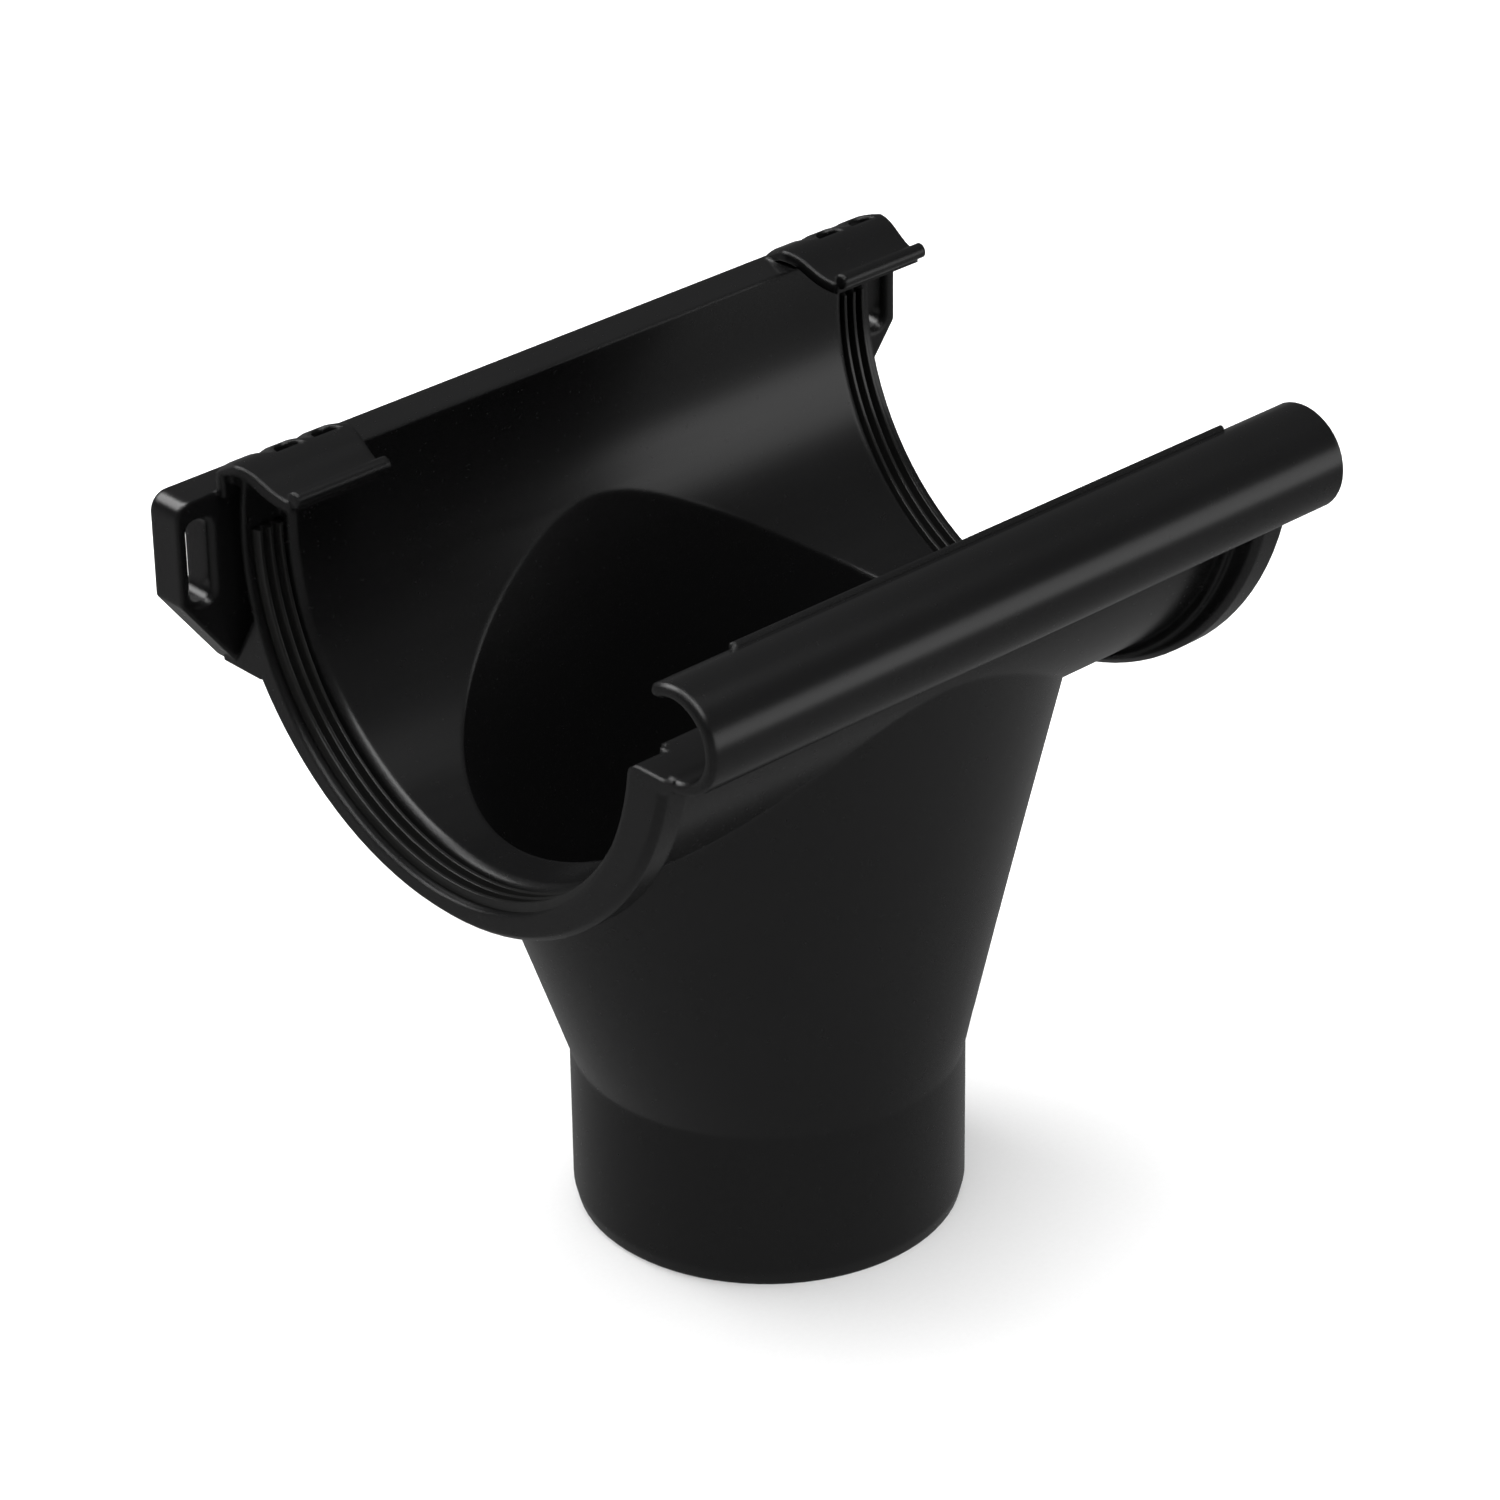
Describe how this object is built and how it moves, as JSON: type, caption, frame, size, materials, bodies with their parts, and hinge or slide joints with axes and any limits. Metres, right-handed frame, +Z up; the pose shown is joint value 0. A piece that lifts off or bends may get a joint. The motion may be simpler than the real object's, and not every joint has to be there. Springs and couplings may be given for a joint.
{
  "type": "gutter outlet",
  "caption": "Running outlet for a half-round gutter, with a funnel down to a round spigot, rubber end seals, snap clips and slotted screw lugs.",
  "frame": {"origin": "on the spigot's axis, at the spigot's lower rim", "axes": "+X along the gutter to the right as seen from the front, +Y to the back with the clips and the screw lugs, +Z up along the spigot's axis"},
  "size_m": [0.1922, 0.1482, 0.1756],
  "materials": {
    "black_moulding": "smooth satin black moulded plastic",
    "seal_rubber": "matt black rubber"
  },
  "bodies": {
    "root": {"outlet_body": "black_moulding", "seal_left": "seal_rubber", "seal_right": "seal_rubber"}
  },
  "joints": []
}
